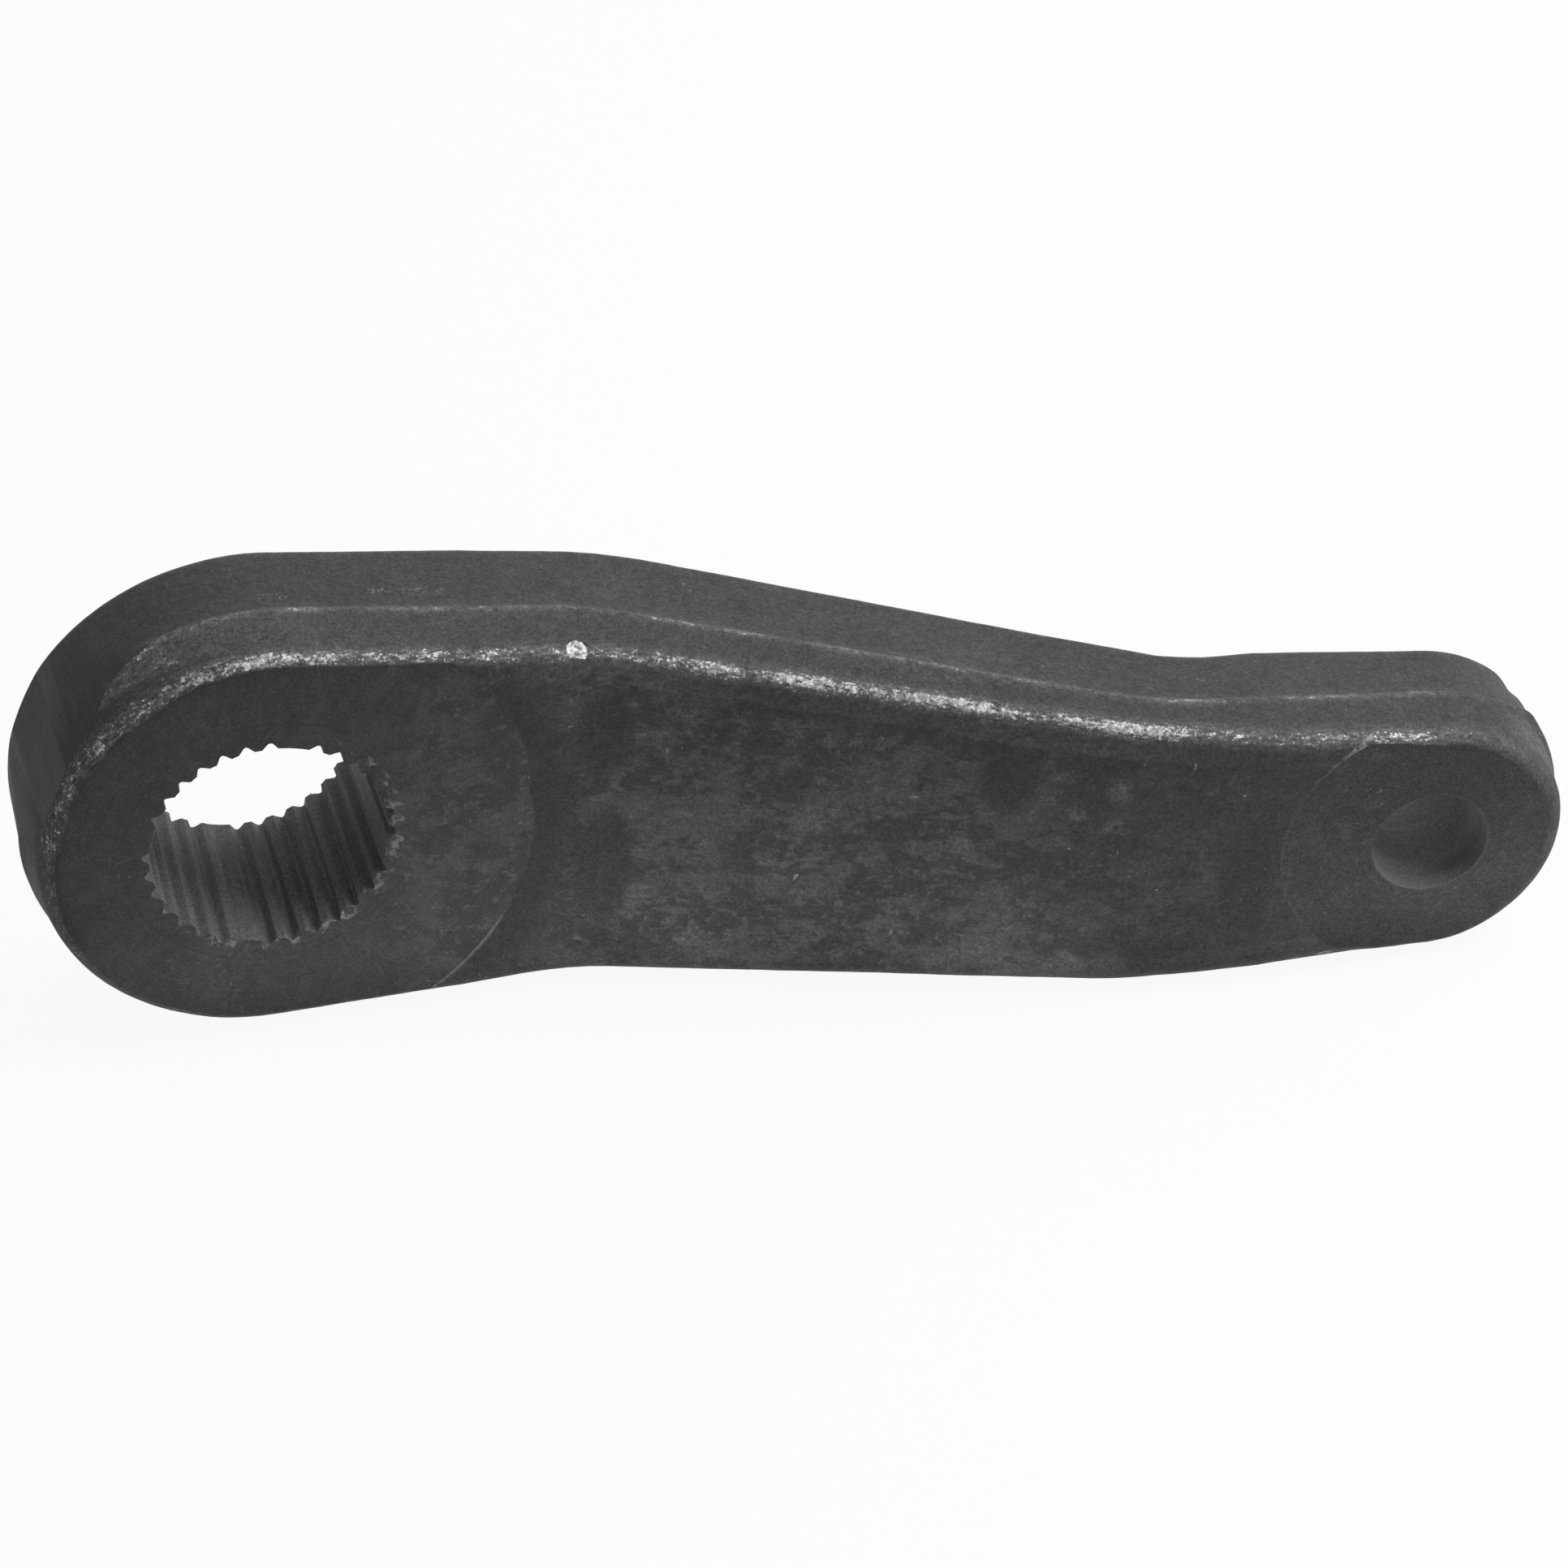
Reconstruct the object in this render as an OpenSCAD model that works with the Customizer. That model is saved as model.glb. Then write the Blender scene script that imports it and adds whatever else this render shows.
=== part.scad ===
// Pitman arm: a one-piece steel drop forging that turns a steering-gear shaft's rotation into a sideways push.
// A big eye with a splined bore, a joggled and tapering web, and a small eye with a tapered ball-stud hole.
// Units are millimetres. The forging is drawn flat, bores along Z and its front face up, and place() then stands
// it on its lower long edge: X runs along the arm, Z is up, and the front face looks towards -Y.

/* [Eyes] */
// Distance between the splined bore and the ball-stud hole (6 in)
centre_distance = 152.4; // [140:0.1:170]
// Radius of the big eye at the parting line
big_eye_r = 31.9; // [29:0.1:34]
// Radius of the small eye at the parting line
small_eye_r = 19; // [16:0.1:22]
// Thickness of the big eye between its milled faces
big_eye_t = 22.8; // [20:0.1:26]
// Thickness of the small eye between its milled faces
small_eye_t = 18.8; // [17:0.1:22]
// How far the small eye's front face stands in front of the big eye's
drop = 20.6; // [10:0.1:26]

/* [Web] */
// Web thickness where it leaves the big eye
web_t_big = 21.7; // [18:0.1:24]
// Web thickness where it meets the small eye
web_t_small = 16; // [14:0.1:19]
// Middle of the bend next to the big eye, from the splined bore
bend_a_x = 44.8; // [42:0.1:52]
// Middle of the bend next to the small eye, from the splined bore
bend_b_x = 117.6; // [105:0.1:120]
// Half the length over which each bend is rounded
bend_round = 6.6; // [3:0.1:9]
// How far the front surface bends ahead of the middle of the section, and the back surface behind it
bend_lead = 2.9; // [0:0.1:4]

/* [Forged edges] */
// Draft of the front half's wall, in degrees
front_draft = 11; // [3:0.5:13]
// Draft of the back half's wall, in degrees
back_draft = 3; // [1:0.5:7]
// Parting line's depth below the front face, as a share of the thickness
parting_share = 0.37; // [0.3:0.01:0.5]
// Radius of the front edge
front_edge_r = 3; // [1:0.1:3.2]
// Radius of the back edge
back_edge_r = 2; // [1:0.1:3]
// Height of the trimmed flash that is left on the parting line
flash_h = 0.4; // [0.1:0.05:0.8]
// Half the width of the trimmed flash
flash_w = 0.9; // [0.5:0.1:1.2]

/* [Spot faces] */
// Radius of the cutter that milled both faces of the big eye
big_spot_r = 36; // [34:0.1:38]
// Radius of the cutter that milled both faces of the small eye
small_spot_r = 20.5; // [20:0.1:24]
// Depth of the milled faces below the forged surface in front
spot_front = 0.5; // [0.2:0.1:1]
// Depth of the milled faces below the forged surface behind
spot_back = 0.3; // [0.2:0.1:1]

/* [Splined bore] */
// Number of spline pitches round the bore
spline_count = 32; // [24:4:40]
// Number of master lands, places where a groove is left out
master_count = 4; // [1:1:4]
// Radius of the bore at the tips of the spline teeth
spline_tip_r = 15; // [14:0.05:15.4]
// Radius of the bore at the bottom of the spline grooves
spline_root_r = 15.95; // [15.6:0.05:16.6]
// Width of each tooth tip, as a share of the pitch
tooth_share = 0.32; // [0.25:0.01:0.5]
// Turn of the first master land from the in-plane upright, in degrees
spline_turn = -9.2; // [-11:0.1:11]

/* [Ball-stud hole] */
// Radius of the tapered hole at the milled front face
stud_hole_r = 7.85; // [7:0.05:9]
// Taper of the hole on its diameter, per unit of length (1.5 in per foot)
stud_taper = 0.125; // [0.05:0.005:0.2]

/* [Hidden] */
arc_step = 5;
lean = asin((big_eye_r - small_eye_r) / centre_distance);
mid_big = (spot_front - big_eye_t - spot_back) / 2;
mid_small = drop + (spot_front - small_eye_t - spot_back) / 2;
raw_big_t = big_eye_t + spot_front + spot_back;
raw_small_t = small_eye_t + spot_front + spot_back;
thickness_at = [
    [0, raw_big_t],
    [bend_a_x - 17, raw_big_t],
    [bend_a_x, web_t_big],
    [bend_b_x, web_t_small],
    [bend_b_x + 13, raw_small_t],
    [centre_distance, raw_small_t]
];
past = 1;

// Stations along the upper half of the plan outline, as [x, y, normal x, normal y]
big_steps = ceil((90 + lean) / arc_step);
small_steps = ceil((90 - lean) / arc_step);
tangent_a = [big_eye_r * sin(lean), big_eye_r * cos(lean)];
tangent_b = [centre_distance + small_eye_r * sin(lean), small_eye_r * cos(lean)];
bend_reach = bend_round + bend_lead;
edge_x = concat(
    [15, 26],
    [for (k = [0:8]) bend_a_x + bend_reach * (k / 4 - 1)],
    [for (k = [1:4]) bend_a_x + bend_reach + (bend_b_x - bend_a_x - 2 * bend_reach) * k / 5],
    [for (k = [0:8]) bend_b_x + bend_reach * (k / 4 - 1)],
    [bend_b_x + 18, bend_b_x + 28]
);
big_arc = [
    for (k = [0:big_steps])
        let (a = 180 - k * (90 + lean) / big_steps)
        [big_eye_r * cos(a), big_eye_r * sin(a), cos(a), sin(a)]
];
straight_edge = [
    for (x = edge_x)
        let (s = (x - tangent_a[0]) / (tangent_b[0] - tangent_a[0]))
        [x, tangent_a[1] + s * (tangent_b[1] - tangent_a[1]), sin(lean), cos(lean)]
];
small_arc = [
    for (k = [0:small_steps])
        let (a = (90 - lean) * (1 - k / small_steps))
        [centre_distance + small_eye_r * cos(a), small_eye_r * sin(a), cos(a), sin(a)]
];
upper = concat(big_arc, straight_edge, small_arc);
n = len(upper);
ring = concat(upper, [for (i = [n - 2:-1:1]) [upper[i][0], -upper[i][1], upper[i][2], -upper[i][3]]]);
m = len(ring);

// The joggle: a straight ramp with each of its two corners rounded by a parabola
function corner(u) = u < -bend_round ? 0 : u > bend_round ? u : pow(u + bend_round, 2) / (4 * bend_round);
function ramp(x) = (corner(x - bend_a_x) - corner(x - bend_b_x)) / (bend_b_x - bend_a_x);
function middle(x) = mid_big + (mid_small - mid_big) * ramp(x);
function thick(x) = lookup(x, thickness_at);
function front(x) = middle(x + bend_lead) + thick(x) / 2;
function back(x) = middle(x - bend_lead) - thick(x) / 2;
function parting(x) = front(x) - parting_share * thick(x);

// Section of the edge at a station, from the front face round to the back face, as [inset, height]
function front_round(x, a) = [
    (front(x) - front_edge_r - parting(x)) * tan(front_draft) + front_edge_r * (1 / cos(front_draft) - sin(a)),
    front(x) - front_edge_r * (1 - cos(a))
];
function back_round(x, a) = [
    (parting(x) - back(x) - back_edge_r) * tan(back_draft) + back_edge_r * (1 / cos(back_draft) - sin(a)),
    back(x) + back_edge_r * (1 - cos(a))
];
function section(x) = concat(
    [for (k = [0:6]) front_round(x, k * (90 - front_draft) / 6)],
    [
        [flash_w * tan(front_draft), parting(x) + flash_w],
        [-flash_h, parting(x) + 0.4 * flash_w],
        [-flash_h, parting(x) - 0.4 * flash_w],
        [flash_w * tan(back_draft), parting(x) - flash_w]
    ],
    [for (k = [4:-1:0]) back_round(x, k * (90 - back_draft) / 4)]
);
levels = len(section(0));
sections = [for (p = ring) section(p[0])];
skin = [
    for (j = [0:levels - 1])
        for (i = [0:m - 1])
            let (p = ring[i], s = sections[i][j])
            [p[0] - s[0] * p[2], p[1] - s[0] * p[3], s[1]]
];
walls = [
    for (j = [0:levels - 2])
        for (i = [0:m - 1])
            let (k = (i + 1) % m, a = j * m, b = (j + 1) * m)
            each [[a + i, b + k, a + k], [a + i, b + i, b + k]]
];
// Each end face is a strip of flat bands, one between each two stations, from the upper rim to the lower rim
function mate(i) = i == 0 || i == n - 1 ? i : m - i;
function bands(base, turn) = [
    for (i = [0:n - 2])
        let (
            u = base + i,
            v = base + i + 1,
            w = base + mate(i + 1),
            z = base + mate(i),
            loop = i == 0 ? [u, v, w] : i == n - 2 ? [u, v, z] : [u, v, w, z]
        )
        turn ? [for (k = [len(loop) - 1:-1:0]) loop[k]] : loop
];

// The raw forging, before machining
module forging() {
    polyhedron(points = skin, faces = concat(walls, bands(0, false), bands((levels - 1) * m, true)), convexity = 6);
}

// One spline groove in plan, pointing along +X: flanks that lean apart and a narrow rounded bottom
module groove() {
    mouth = spline_tip_r * 2 * PI / spline_count * (1 - tooth_share) / 2;
    depth = spline_root_r - spline_tip_r;
    polygon([
        [spline_tip_r - 1, -mouth],
        [spline_tip_r - 0.04, -mouth],
        [spline_tip_r + 0.86 * depth, -0.38 * mouth],
        [spline_root_r, -0.17 * mouth],
        [spline_root_r, 0.17 * mouth],
        [spline_tip_r + 0.86 * depth, 0.38 * mouth],
        [spline_tip_r - 0.04, mouth],
        [spline_tip_r - 1, mouth]
    ]);
}

// The broached bore in plan: a round hole and the grooves, left out at the master lands
module spline_plan() {
    circle(r = spline_tip_r, $fn = 128);
    for (k = [0:spline_count - 1]) {
        if (k % (spline_count / master_count) != 0) {
            rotate(90 + spline_turn + k * 360 / spline_count) groove();
        }
    }
}

module splined_bore() {
    translate([0, 0, -big_eye_t - past]) linear_extrude(height = big_eye_t + 2 * past) spline_plan();
}

// The ball-stud hole is reamed from the front and narrows towards the back
module stud_hole() {
    r_front = stud_hole_r + past * stud_taper / 2;
    r_back = stud_hole_r - (small_eye_t + past) * stud_taper / 2;
    translate([centre_distance, 0, drop - small_eye_t - past])
        cylinder(h = small_eye_t + 2 * past, r1 = r_back, r2 = r_front, $fn = 96);
}

// Milled faces: everything that stands proud of the two eyes' faces within the cutter's reach
module spot_faces() {
    reach = 6;
    cylinder(h = reach, r = big_spot_r, $fn = 128);
    translate([0, 0, -big_eye_t - reach]) cylinder(h = reach, r = big_spot_r, $fn = 128);
    translate([centre_distance, 0, drop]) cylinder(h = reach, r = small_spot_r, $fn = 96);
    translate([centre_distance, 0, drop - small_eye_t - reach]) cylinder(h = reach, r = small_spot_r, $fn = 96);
}

// Stands the forging on its lower long edge, with the splined bore's front centre at the origin
module place() {
    rotate([0, lean, 0]) rotate([90, 0, 0]) children();
}

module pitman_arm() {
    color([0.07, 0.07, 0.07])
        place()
            difference() {
                forging();
                spot_faces();
                splined_bore();
                stud_hole();
            }
}

pitman_arm();
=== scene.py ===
"""Pitman arm: the finished look of a one-piece drop forging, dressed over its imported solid."""

from math import acos, asin, atan2, cos, degrees, exp, pi, radians, sin, tan

import bmesh
import bpy
from mathutils import Matrix, Vector, noise


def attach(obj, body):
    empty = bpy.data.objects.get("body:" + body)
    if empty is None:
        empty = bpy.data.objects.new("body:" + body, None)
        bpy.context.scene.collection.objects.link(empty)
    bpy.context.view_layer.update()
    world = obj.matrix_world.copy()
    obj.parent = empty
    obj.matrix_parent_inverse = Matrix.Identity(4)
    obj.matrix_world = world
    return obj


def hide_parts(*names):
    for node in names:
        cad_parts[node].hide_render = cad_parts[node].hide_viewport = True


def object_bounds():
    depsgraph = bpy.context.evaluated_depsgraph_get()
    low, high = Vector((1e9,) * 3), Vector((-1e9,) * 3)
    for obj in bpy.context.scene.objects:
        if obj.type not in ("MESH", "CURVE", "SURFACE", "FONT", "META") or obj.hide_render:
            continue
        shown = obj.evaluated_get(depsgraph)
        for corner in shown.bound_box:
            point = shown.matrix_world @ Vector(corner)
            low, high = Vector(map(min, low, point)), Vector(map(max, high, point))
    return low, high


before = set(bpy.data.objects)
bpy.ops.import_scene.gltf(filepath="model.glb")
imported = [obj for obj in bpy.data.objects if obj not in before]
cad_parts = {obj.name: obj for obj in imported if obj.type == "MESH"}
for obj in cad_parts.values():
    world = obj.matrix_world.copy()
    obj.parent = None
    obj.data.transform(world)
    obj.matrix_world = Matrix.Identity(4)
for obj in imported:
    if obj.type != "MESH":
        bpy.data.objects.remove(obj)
cad_low, cad_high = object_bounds()

# Sizes of the forging in millimetres, the same as in the part's source
CENTRES = 152.4
BIG_R = 31.9
SMALL_R = 19.0
BIG_T = 22.8
SMALL_T = 18.8
DROP = 20.6
WEB_T_BIG = 21.7
WEB_T_SMALL = 16.0
BEND_A = 44.8
BEND_B = 117.6
BEND_ROUND = 6.6
BEND_LEAD = 2.9
FRONT_DRAFT = radians(11)
BACK_DRAFT = radians(3)
PARTING = 0.37
FRONT_EDGE_R = 3.0
BACK_EDGE_R = 2.0
FLASH_H = 0.4
FLASH_W = 0.9
BIG_SPOT_R = 36.0
SMALL_SPOT_R = 20.5
SPOT_FRONT = 0.5
SPOT_BACK = 0.3
SPLINES = 32
MASTERS = 4
TIP_R = 15.0
ROOT_R = 15.95
TOOTH = 0.32
SPLINE_TURN = radians(-9.2)
STUD_R = 7.85
STUD_TAPER = 0.125

LEAN = asin((BIG_R - SMALL_R) / CENTRES)
MID_BIG = (SPOT_FRONT - BIG_T - SPOT_BACK) / 2
MID_SMALL = DROP + (SPOT_FRONT - SMALL_T - SPOT_BACK) / 2
RAW_BIG_T = BIG_T + SPOT_FRONT + SPOT_BACK
RAW_SMALL_T = SMALL_T + SPOT_FRONT + SPOT_BACK
STAND = Matrix.Rotation(LEAN, 4, "Y") @ Matrix.Rotation(radians(90), 4, "X") @ Matrix.Scale(0.001, 4)
SMALL_EYE = Vector((CENTRES, 0, 0))
UP_EDGE = Vector((cos(LEAN), -sin(LEAN), 0))
TANGENT = Vector((BIG_R * sin(LEAN), BIG_R * cos(LEAN), 0))
EDGE_LENGTH = CENTRES * cos(LEAN)

# The splined bore's front mouth: its share wider than the back one, and how far it sits off the axis
BORE_TAPER = 0.06
MOUTH_RIGHT, MOUTH_DOWN = 0.1, 0.5

# Steps of the sweep round the two eyes and along the web, and cuts across the front and back faces
BIG_STEPS, SMALL_STEPS, WEB_STEPS, FACE_CUTS = 72, 84, 190, 55

# Steps round the turned cutters of the two eyes, and the radii of the rings of points on their faces
BIG_TURN, SMALL_TURN = 180, 144
BIG_RINGS = (13, 18.4, 19, 21.5, 24, 26.5, 29, 32)
SMALL_RINGS = (6, 8.6, 9.4, 11, 13, 15, 17, 19)

# Finishes of the forging, by material index
SKIN, MILLED, BROACHED, REAMED, TRIMMED, TESTED = range(6)

# What the dies, the trimming and the wear changed on the plain form, in millimetres.
# A chain of stops holds (place along the arm, value), unless its name says by what else it goes.
FRONT_FULL = (
    (12, -0.2), (26, 0), (52, 0.15), (82, 0.2), (92, 0.4), (118, 0.4), (130, 0), (147, 0), (151, -0.2),
)
BACK_FULL = ((30, 0), (44, 0.35), (100, 0.35), (114, 0.6), (124, 0))
PARTING_LOW = ((158, 0), (165, 0.6))
RIDGE_DRAGGED = (
    (120, 0), (135, 0.5), (150, 0.9), (162, 0.9), (164.6, 1.3), (166.7, 2.35), (167.6, 2.75), (168.2, 2.1),
    (169.0, 0.8), (170.3, 0.4),
)
LOWER_EDGE_SHORT = ((124, 0), (133, 0.3), (144, 0.3), (149, 0))
NOSE_BY_HEIGHT = (
    (3, 0.1), (6.5, 0.25), (9.5, 0.5), (11, 0.68), (12, 0.7), (13, 0.55), (14.5, 0.25), (16.5, 0),
)
NOSE_FROM = 160
SHORN_X, SHORN_Y, SHORN_REACH, SHORN_DEPTH = 167.6, 11.4, 2.2, 0.6
SHEAR_BY_ANGLE = (
    (108, 32.8), (117, 31.65), (122, 31.4), (128, 31.25), (134, 31.0), (140, 30.55), (146, 30.35),
    (152, 30.15), (158, 29.85), (166, 29.85), (172, 30.1), (178, 30.6), (184, 31.3), (190, 32.3), (194, 33.0),
)

# How far handling has rubbed the edges, with a painted highlight on top of the wear that is strongest on the
# upper front edge, from 0 to about 1, by place along the arm
UPPER_EDGE_WORN_AND_HIGHLIT = (
    (-31, 0.75), (-27, 0.8), (-20, 0.75), (-12, 0.9), (-6, 1.0), (16, 1.0), (24, 0.75), (36, 0.62),
    (46, 0.85), (53, 1.0), (70, 1.05), (98, 0.95), (119, 1.05), (124, 0.74), (134, 0.74), (141, 0.86),
    (150, 0.84), (156, 0.7), (160, 0.4), (168, 0.1),
)
LOWER_EDGE_WORN_AND_HIGHLIT = ((-28, 0.5), (-20, 0.3), (0, 0.2), (130, 0.25), (140, 0.5), (150, 0.2))
# The upper wall is paler at the big eye's left end, and carries a painted highlight at the small end.
UPPER_WALL_PALE_AND_HIGHLIT = (
    (-31, 0.75), (-20, 0.65), (-6, 0.2), (10, 0.08), (60, 0.02), (162, 0.0), (167, 0.3), (170, 0.15),
)
# The ridge's rubbing by place is partly real and partly a painted highlight, most of all on the nose at the
# small end.
RIDGE_WORN_AND_HIGHLIT = ((148, 1), (158, 0.25), (163, 0.25), (166, 0.9), (169, 0.5))

# Waves and pits of the skin: how close together, where the pattern starts, how deep
SKIN_WAVES = (
    (0.045, Vector((4.1, 0, 0)), 0.05),
    (0.16, Vector((0, 7.7, 0)), 0.035),
    (0.55, Vector((0, 0, 2.3)), 0.022),
    (1.1, Vector((9.2, 0, 0)), 0.014),
)


# The joggle, the thickness and the edges along the arm

def corner(u):
    if u < -BEND_ROUND:
        return 0.0
    return u if u > BEND_ROUND else (u + BEND_ROUND) ** 2 / (4 * BEND_ROUND)


def middle(x):
    ramp = (corner(x - BEND_A) - corner(x - BEND_B)) / (BEND_B - BEND_A)
    return MID_BIG + (MID_SMALL - MID_BIG) * ramp


def along(stops, x):
    """The value at x of a line through the (place, value) stops."""
    if x <= stops[0][0]:
        return stops[0][1]
    for (x0, v0), (x1, v1) in zip(stops, stops[1:]):
        if x <= x1:
            return v0 + (v1 - v0) * (x - x0) / (x1 - x0)
    return stops[-1][1]


def thick(x):
    return along(
        (
            (BEND_A - 17, RAW_BIG_T),
            (BEND_A, WEB_T_BIG),
            (BEND_B, WEB_T_SMALL),
            (BEND_B + 13, RAW_SMALL_T),
        ),
        x,
    )


def front(x):
    return middle(x + BEND_LEAD) + thick(x) / 2 + along(FRONT_FULL, x)


def back(x):
    return middle(x - BEND_LEAD) - thick(x) / 2 - along(BACK_FULL, x)


def parting(x):
    return front(x) - PARTING * thick(x) - along(PARTING_LOW, x)


def ridge_line(x):
    """Height of the flash ridge: the parting line's, less what trimming dragged it back at the small end."""
    return parting(x) - along(RIDGE_DRAGGED, x)


def front_edge(foot):
    """Height of the raw front face at its edge. Left of the small eye its lower side is forged less full."""
    short = along(LOWER_EDGE_SHORT, foot.x) if foot.y < 0 else 0.0
    return front(foot.x) - short


def shorn(foot):
    """How far the trimming die has cut into the back half behind the flash at the small end."""
    across, up = (foot.x - SHORN_X) / SHORN_REACH, (foot.y - SHORN_Y) / SHORN_REACH
    return SHORN_DEPTH * exp(-(across**2) - up**2)


def edge_r(foot):
    """Radius of the front edge, which the dies leave easier round the upper left and the small end."""
    big = along(((-25, 1.6), (-18, 1.2), (-6, 0)), foot.x) * along(((-14, 0), (6, 1)), foot.y)
    return FRONT_EDGE_R + big + along(((157, 0), (168, 0.5)), foot.x)


def steep(foot):
    """How much further out the front edge sits where the wall is steeper, on parts of the two ends."""
    big = 0.45 * along(((6, 0), (22, 1)), -foot.y) * along(((-6, 1), (24, 0)), foot.x)
    return big + 0.6 * along(((5, 1), (13, 0)), foot.y) * along(((144, 0), (154, 1)), foot.x)


def edge_wear_and_highlight(foot):
    """How far handling has rubbed the front edge bright at this place, with a painted highlight on top that
    is strongest on the upper edge.
    """
    return along(LOWER_EDGE_WORN_AND_HIGHLIT if foot.y < 0 else UPPER_EDGE_WORN_AND_HIGHLIT, foot.x)


def station(co):
    """The nearest point of the plan outline and the outline's normal there, for a point near the wall."""
    side = 1 if co.y >= 0 else -1
    p = Vector((co.x, abs(co.y), 0))
    run = (p - TANGENT).dot(UP_EDGE)
    if run < 0:
        a = atan2(p.y, p.x)
        n = Vector((cos(a), sin(a), 0))
        foot = n * BIG_R
    elif run > EDGE_LENGTH:
        a = atan2(p.y, p.x - CENTRES)
        n = Vector((cos(a), sin(a), 0))
        foot = SMALL_EYE + n * SMALL_R
    else:
        n = Vector((sin(LEAN), cos(LEAN), 0))
        foot = TANGENT + UP_EDGE * run
    return Vector((foot.x, foot.y * side, 0)), Vector((n.x, n.y * side, 0))


# The section of the edge, from the front face over the parting line to the back face.
# Each level is (zone, value): an angle on a rounded edge, a share of a wall, or a place across the flash.
LEVELS = (
    [("front", radians(a)) for a in (0, 9, 18, 26, 34, 42, 50, 58, 65, 72, 79)]
    + [("front wall", s) for s in (0.25, 0.5, 0.75)]
    + [("flash", s) for s in (1, 0.72, 0.45, 0.18, -0.18, -0.45, -0.72, -1)]
    + [("back wall", s) for s in (0.87, 0.75, 0.62, 0.5, 0.37, 0.25, 0.12)]
    + [("back", radians(a)) for a in (87, 72, 57, 42, 27, 12, 0)]
)


def section(level, foot, ridge=FLASH_H):
    """Inset from the outline and height of one level at a station."""
    zone, value = LEVELS[level]
    z0, z1, zp, r = front_edge(foot), back(foot.x), parting(foot.x), edge_r(foot)

    def wall(z):
        return (z - zp) * tan(FRONT_DRAFT) if z > zp else (zp - z) * tan(BACK_DRAFT)

    if zone == "front":
        front_foot = wall(z0 - r) + r / cos(FRONT_DRAFT) - steep(foot)
        return front_foot - r * sin(value), z0 - r * (1 - cos(value))
    if zone == "back":
        back_foot = wall(z1 + BACK_EDGE_R) + BACK_EDGE_R / cos(BACK_DRAFT) + shorn(foot)
        return back_foot - BACK_EDGE_R * sin(value), z1 + BACK_EDGE_R * (1 - cos(value))
    zr = ridge_line(foot.x)
    if zone == "flash":
        z = zr + value * FLASH_W
        return wall(z) - ridge * 0.5 * (1 + cos(pi * value)), z
    if zone == "front wall":
        top = z0 - r * (1 - sin(FRONT_DRAFT))
        z = top + value * (zr + FLASH_W - top)
        return wall(z) - steep(foot) * (1 - value), z
    low = z1 + BACK_EDGE_R * (1 - sin(BACK_DRAFT))
    z = low + value * (zr - FLASH_W - low)
    swell = 0.6 * max(0.0, ridge - FLASH_H) * exp(-(((zr - z) / 2.4) ** 2))
    return wall(z) + shorn(foot) * (1 - value) - swell, z


def flash_left(p):
    """Height of the flash that trimming left at this place on the parting line."""
    ragged = 0.5 + 0.5 * noise.noise(Vector((p.x * 0.09, p.y * 0.09, 3.1)))
    small = 0.5 + 0.5 * noise.noise(Vector((p.x * 0.5, p.y * 0.5, 8.4)))
    nose = along(NOSE_BY_HEIGHT, p.y) if p.x > NOSE_FROM and p.y > 0 else 0.0
    return FLASH_H * min(0.8, 0.3 + 0.45 * ragged * small) + nose


def pick(geom, kind):
    return [g for g in geom if isinstance(g, kind)]


def raw_forging():
    """Sweeps the edge section round the plan outline, then closes the front and back faces."""
    bm = bmesh.new()
    tag = bm.verts.layers.int.new("level")
    chain = []
    for k in range(len(LEVELS)):
        inset, z = section(k, Vector((-BIG_R, 0, 0)))
        v = bm.verts.new((inset - BIG_R, 0, z))
        v[tag] = k
        chain.append(v)
    last = chain + [bm.edges.new(pair) for pair in zip(chain, chain[1:])]

    def swing(last, centre, turn, steps):
        swept = bmesh.ops.spin(bm, geom=last, cent=centre, axis=(0, 0, 1), angle=-turn, steps=steps)
        return swept["geom_last"]

    def run(last, direction):
        step = direction * (EDGE_LENGTH / WEB_STEPS)
        for _ in range(WEB_STEPS):
            last = bmesh.ops.extrude_edge_only(bm, edges=pick(last, bmesh.types.BMEdge))["geom"]
            last = pick(last, bmesh.types.BMVert) + pick(last, bmesh.types.BMEdge)
            bmesh.ops.translate(bm, verts=pick(last, bmesh.types.BMVert), vec=step)
        return last

    last = swing(last, (0, 0, 0), pi / 2 + LEAN, BIG_STEPS)
    last = run(last, UP_EDGE)
    last = swing(last, SMALL_EYE, pi - 2 * LEAN, SMALL_STEPS)
    last = run(last, Vector((-UP_EDGE.x, UP_EDGE.y, 0)))
    swing(last, (0, 0, 0), pi / 2 + LEAN, BIG_STEPS)
    bmesh.ops.remove_doubles(bm, verts=bm.verts[:], dist=0.001)

    for v in bm.verts:
        foot, normal = station(v.co)
        inset, z = section(v[tag], foot, flash_left(foot))
        v.co = foot - normal * inset
        v.co.z = z

    for k in (0, len(LEVELS) - 1):
        rim = [e for e in bm.edges if e.is_boundary and e.verts[0][tag] == k and e.verts[1][tag] == k]
        halves = [e for e in rim if min(abs(v.co.y) for v in e.verts) > 0.01]
        bridged = bmesh.ops.bridge_loops(bm, edges=halves)
        across = [e for e in bridged["edges"] if e.verts[0].co.y * e.verts[1].co.y < 0]
        bmesh.ops.holes_fill(bm, edges=[e for e in bm.edges if e.is_boundary], sides=4)
        bmesh.ops.subdivide_edges(bm, edges=across, cuts=FACE_CUTS, use_grid_fill=True)
    bmesh.ops.recalc_face_normals(bm, faces=bm.faces[:])
    return bm


def forge_skin(bm):
    """Sinks the skin by the shallow waves and pits that the dies and the scale leave. Nothing rises."""
    bm.normal_update()
    moves = []
    for v in bm.verts:
        sink = sum(deep * (1 + noise.noise(v.co * close + start)) for close, start, deep in SKIN_WAVES)
        moves.append((v, v.normal * -sink))
    for v, move in moves:
        v.co += move


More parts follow.
